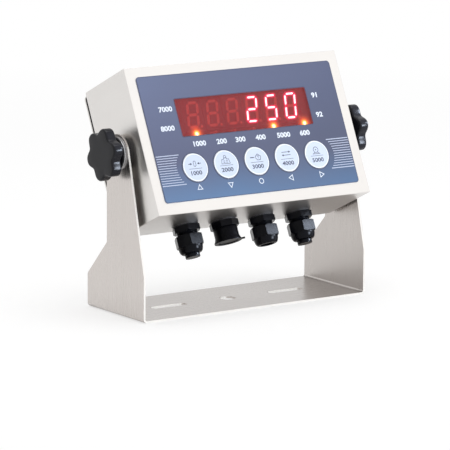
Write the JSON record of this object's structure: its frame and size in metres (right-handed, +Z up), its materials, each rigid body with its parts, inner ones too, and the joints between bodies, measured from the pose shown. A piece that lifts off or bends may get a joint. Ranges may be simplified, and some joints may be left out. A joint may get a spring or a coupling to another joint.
{
  "type": "weighing indicator",
  "caption": "Weighing indicator with a lit numeric display and a key row in a steel housing that tilts in a U-shaped steel bracket, with cable entries below.",
  "frame": {"origin": "axis of the bracket's centre hole, at the underside of the base", "axes": "+X to the right as seen from the front, along the pivot axis; +Y to the back; +Z up, along the centre hole's axis"},
  "size_m": [0.227, 0.1031, 0.1803],
  "materials": {
    "bracket": "brushed",
    "housing": "brushed",
    "rear_cover": "brushed",
    "cover_gasket": "matt",
    "cover_screws": "turned",
    "cover_nuts": "plain",
    "pivot_nuts": "plain",
    "friction_washers": "matt",
    "label_panel": "fine matt film",
    "window_lens": "clear red",
    "keys": "satin film",
    "key_switches": "matt",
    "boards": "solder resist",
    "digit_modules": "matt",
    "digit_segments": "diffusing",
    "status_lamps": "diffusing",
    "board_metal": "plated",
    "board_screws": "plain",
    "terminal_blocks": "matt",
    "electronic_parts": "matt",
    "glands": "satin nylon",
    "gland_seals": "matt",
    "gland_plugs": "satin nylon",
    "connector_body": "satin black",
    "connector_insert": "matt",
    "connector_cap": "matt",
    "knobs": "fine moulded",
    "knob_studs": "threaded",
    "knob_washers": "plain"
  },
  "bodies": {
    "bracket": {"bracket": "bracket"},
    "housing": {"housing": "housing", "rear_cover": "rear_cover", "cover_gasket": "cover_gasket", "cover_screws": "cover_screws", "cover_nuts": "cover_nuts", "pivot_nut_left": "pivot_nuts", "pivot_nut_right": "pivot_nuts", "friction_washer_left": "friction_washers", "friction_washer_right": "friction_washers", "label_panel": "label_panel", "window_lens": "window_lens", "key_switches": "key_switches", "display_board": "boards", "digit_modules": "digit_modules", "digit_segments": "digit_segments", "status_lamps": "status_lamps", "face_studs": "board_metal", "board_spacers": "board_metal", "board_screws": "board_screws", "main_board": "boards", "terminal_blocks": "terminal_blocks", "electronic_parts": "electronic_parts", "board_link": "electronic_parts", "gland_body_1": "glands", "gland_body_2": "glands", "gland_body_3": "glands", "lock_nuts": "glands", "sealing_washers": "gland_seals", "connector_body": "connector_body", "connector_insert": "connector_insert"},
    "knob_washer_left": {"knob_washer_left": "knob_washers"},
    "knob_left": {"knob_left": "knobs", "knob_stud_left": "knob_studs"},
    "knob_washer_right": {"knob_washer_right": "knob_washers"},
    "knob_right": {"knob_right": "knobs", "knob_stud_right": "knob_studs"},
    "key_1": {"key_1": "keys"},
    "key_2": {"key_2": "keys"},
    "key_3": {"key_3": "keys"},
    "key_4": {"key_4": "keys"},
    "key_5": {"key_5": "keys"},
    "gland_seal_1": {"gland_seal_1": "gland_seals", "gland_plug_1": "gland_plugs"},
    "gland_nut_1": {"gland_nut_1": "glands"},
    "gland_seal_2": {"gland_seal_2": "gland_seals"},
    "gland_nut_2": {"gland_nut_2": "glands"},
    "gland_seal_3": {"gland_seal_3": "gland_seals", "gland_plug_3": "gland_plugs"},
    "gland_nut_3": {"gland_nut_3": "glands"},
    "connector_cap": {"connector_cap": "connector_cap"}
  },
  "joints": [
    {"name": "housing_tilt", "type": "hinge", "parent": "bracket", "child": "housing", "pos_m": [0, -0.0025, 0.119], "axis": [1, 0, 0], "range_deg": [-180, 180]},
    {"name": "knob_washer_left_travel", "type": "slide", "parent": "housing", "child": "knob_washer_left", "axis": [-1, 0, 0], "range_m": [0, 0.0025]},
    {"name": "knob_left_turn", "type": "hinge", "parent": "knob_washer_left", "child": "knob_left", "pos_m": [-0.1, -0.0025, 0.119], "axis": [-1, 0, 0], "range_deg": [0, 725]},
    {"name": "knob_washer_right_travel", "type": "slide", "parent": "housing", "child": "knob_washer_right", "axis": [1, 0, 0], "range_m": [0, 0.0025]},
    {"name": "knob_right_turn", "type": "hinge", "parent": "knob_washer_right", "child": "knob_right", "pos_m": [0.1, -0.0025, 0.119], "axis": [1, 0, 0], "range_deg": [0, 725]},
    {"name": "key_1_press", "type": "slide", "parent": "housing", "child": "key_1", "axis": [0, 0.9063, -0.4226], "range_m": [0, 0.0004], "stiffness_N_per_m": 3000},
    {"name": "key_2_press", "type": "slide", "parent": "housing", "child": "key_2", "axis": [0, 0.9063, -0.4226], "range_m": [0, 0.0004], "stiffness_N_per_m": 3000},
    {"name": "key_3_press", "type": "slide", "parent": "housing", "child": "key_3", "axis": [0, 0.9063, -0.4226], "range_m": [0, 0.0004], "stiffness_N_per_m": 3000},
    {"name": "key_4_press", "type": "slide", "parent": "housing", "child": "key_4", "axis": [0, 0.9063, -0.4226], "range_m": [0, 0.0004], "stiffness_N_per_m": 3000},
    {"name": "key_5_press", "type": "slide", "parent": "housing", "child": "key_5", "axis": [0, 0.9063, -0.4226], "range_m": [0, 0.0004], "stiffness_N_per_m": 3000},
    {"name": "gland_seal_1_travel", "type": "slide", "parent": "housing", "child": "gland_seal_1", "axis": [0, -0.4226, -0.9063], "range_m": [0, 0.003]},
    {"name": "gland_nut_1_turn", "type": "hinge", "parent": "gland_seal_1", "child": "gland_nut_1", "pos_m": [-0.04725, -0.02006, 0.0494], "axis": [0, -0.4226, -0.9063], "range_deg": [0, 725]},
    {"name": "gland_seal_2_travel", "type": "slide", "parent": "housing", "child": "gland_seal_2", "axis": [0, -0.4226, -0.9063], "range_m": [0, 0.003]},
    {"name": "gland_nut_2_turn", "type": "hinge", "parent": "gland_seal_2", "child": "gland_nut_2", "pos_m": [0.01975, -0.02006, 0.0494], "axis": [0, -0.4226, -0.9063], "range_deg": [0, 725]},
    {"name": "gland_seal_3_travel", "type": "slide", "parent": "housing", "child": "gland_seal_3", "axis": [0, -0.4226, -0.9063], "range_m": [0, 0.003]},
    {"name": "gland_nut_3_turn", "type": "hinge", "parent": "gland_seal_3", "child": "gland_nut_3", "pos_m": [0.05325, -0.02006, 0.0494], "axis": [0, -0.4226, -0.9063], "range_deg": [0, 725]},
    {"name": "connector_cap_pull", "type": "slide", "parent": "housing", "child": "connector_cap", "axis": [0, -0.4226, -0.9063], "range_m": [0, 0.01]}
  ],
  "couplings": [
    {"joint": "knob_left_turn", "follows": "knob_washer_left_travel", "rad_per_m": 5026.6},
    {"joint": "knob_right_turn", "follows": "knob_washer_right_travel", "rad_per_m": 5026.6},
    {"joint": "gland_nut_1_turn", "follows": "gland_seal_1_travel", "rad_per_m": 4188.8},
    {"joint": "gland_nut_2_turn", "follows": "gland_seal_2_travel", "rad_per_m": 4188.8},
    {"joint": "gland_nut_3_turn", "follows": "gland_seal_3_travel", "rad_per_m": 4188.8}
  ]
}
